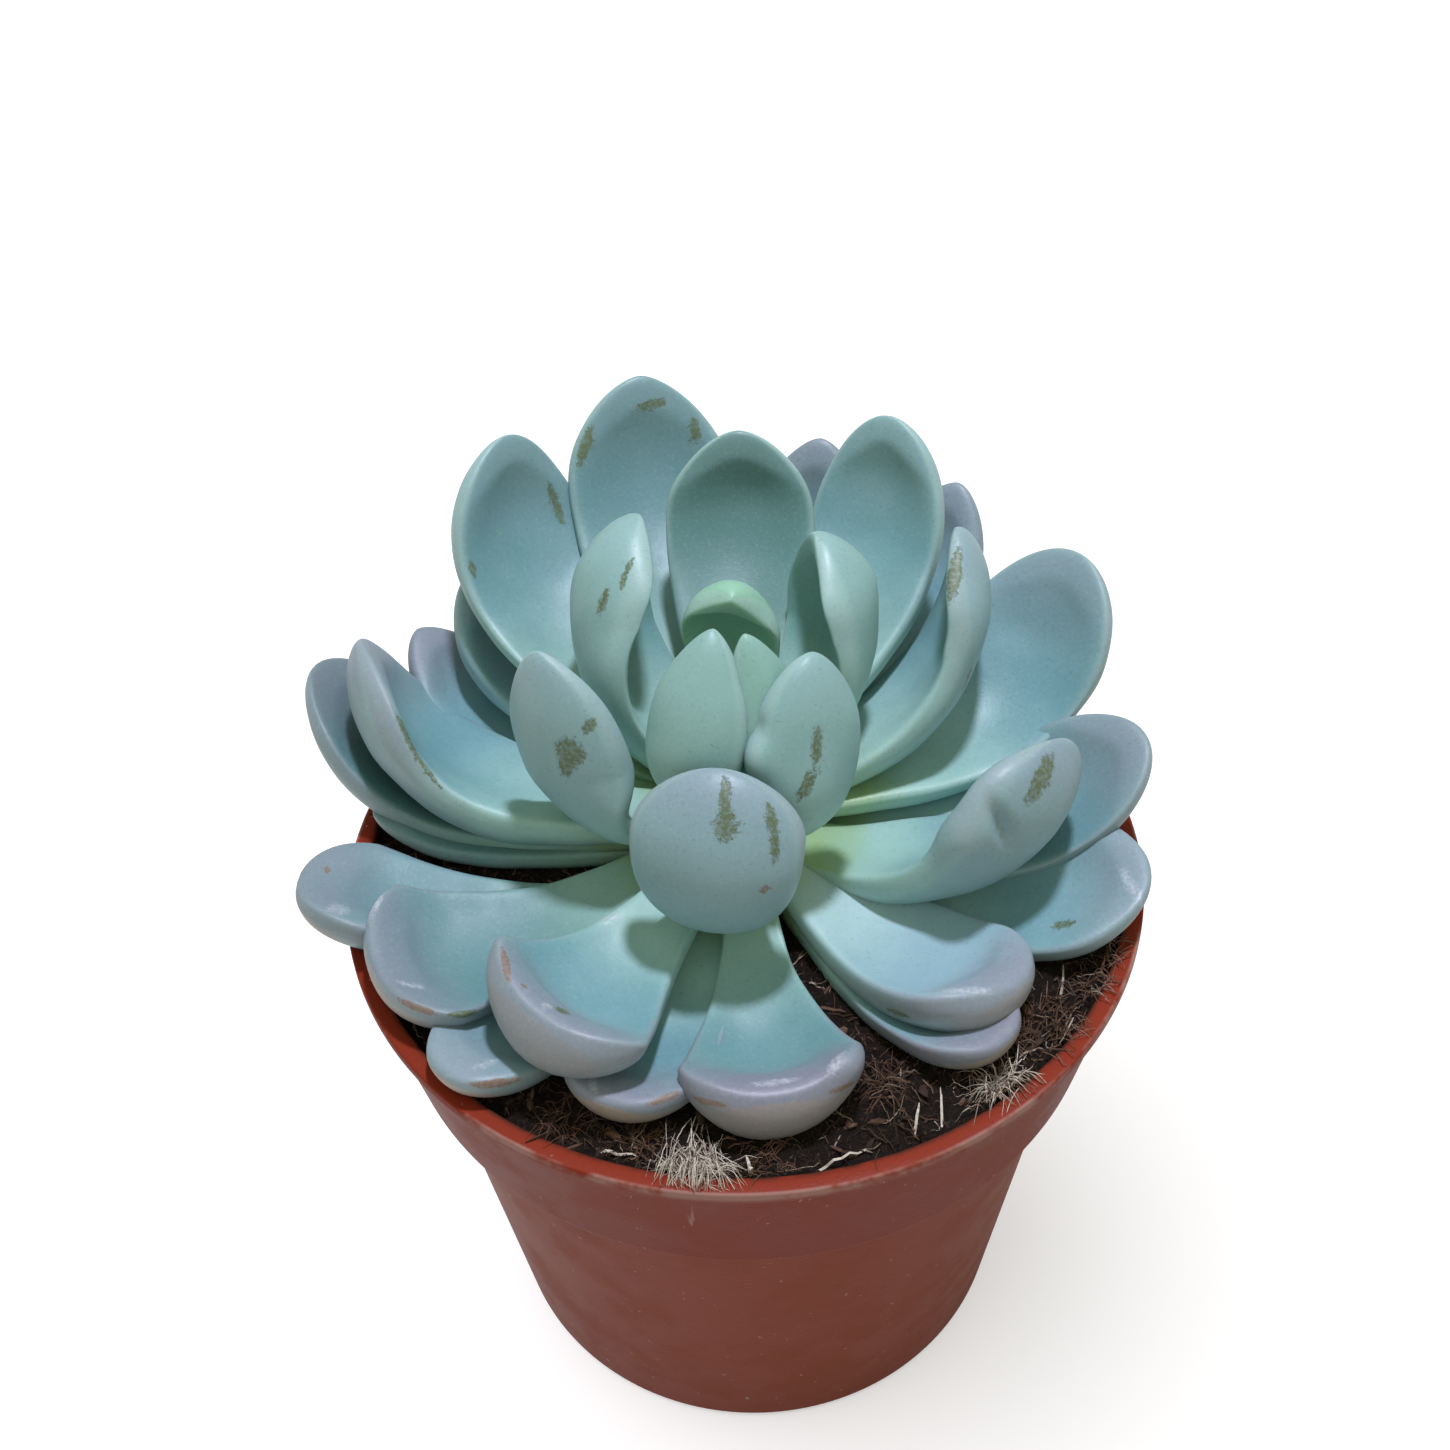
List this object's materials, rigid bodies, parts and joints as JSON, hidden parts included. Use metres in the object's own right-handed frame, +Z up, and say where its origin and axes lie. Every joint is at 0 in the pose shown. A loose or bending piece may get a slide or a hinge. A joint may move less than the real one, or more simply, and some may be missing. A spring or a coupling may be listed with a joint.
{
  "type": "potted succulent",
  "caption": "Rosette of thick blue-green leaves on a short stem, rooted in peat in a round tapered plastic nursery pot with a collar and drain holes.",
  "frame": {"origin": "centre of the pot's foot, in the plane that it stands on", "axes": "+Z up along the pot's axis, -Y towards the side that the picture was taken from, +X to the right of it"},
  "size_m": [0.1281, 0.1264, 0.1398],
  "materials": {
    "pot_plastic": "satin terracotta-coloured plastic",
    "peat": "rough fibrous peat",
    "stem_flesh": "matte green plant flesh",
    "leaf_flesh": "matte leaf with a pale waxy bloom"
  },
  "bodies": {
    "root": {"pot": "pot_plastic", "soil": "peat", "stem": "stem_flesh", "leaf_01": "leaf_flesh", "leaf_02": "leaf_flesh", "leaf_03": "leaf_flesh", "leaf_04": "leaf_flesh", "leaf_05": "leaf_flesh", "leaf_06": "leaf_flesh", "leaf_07": "leaf_flesh", "leaf_08": "leaf_flesh", "leaf_09": "leaf_flesh", "leaf_10": "leaf_flesh", "leaf_11": "leaf_flesh", "leaf_12": "leaf_flesh", "leaf_13": "leaf_flesh", "leaf_14": "leaf_flesh", "leaf_15": "leaf_flesh", "leaf_16": "leaf_flesh", "leaf_17": "leaf_flesh", "leaf_18": "leaf_flesh", "leaf_19": "leaf_flesh", "leaf_20": "leaf_flesh", "leaf_21": "leaf_flesh", "leaf_22": "leaf_flesh", "leaf_23": "leaf_flesh", "leaf_24": "leaf_flesh", "leaf_25": "leaf_flesh", "leaf_26": "leaf_flesh", "leaf_27": "leaf_flesh", "leaf_28": "leaf_flesh", "leaf_29": "leaf_flesh", "leaf_30": "leaf_flesh", "leaf_31": "leaf_flesh", "leaf_32": "leaf_flesh", "leaf_33": "leaf_flesh", "leaf_34": "leaf_flesh", "leaf_35": "leaf_flesh", "leaf_36": "leaf_flesh", "leaf_37": "leaf_flesh", "leaf_38": "leaf_flesh"}
  },
  "joints": []
}
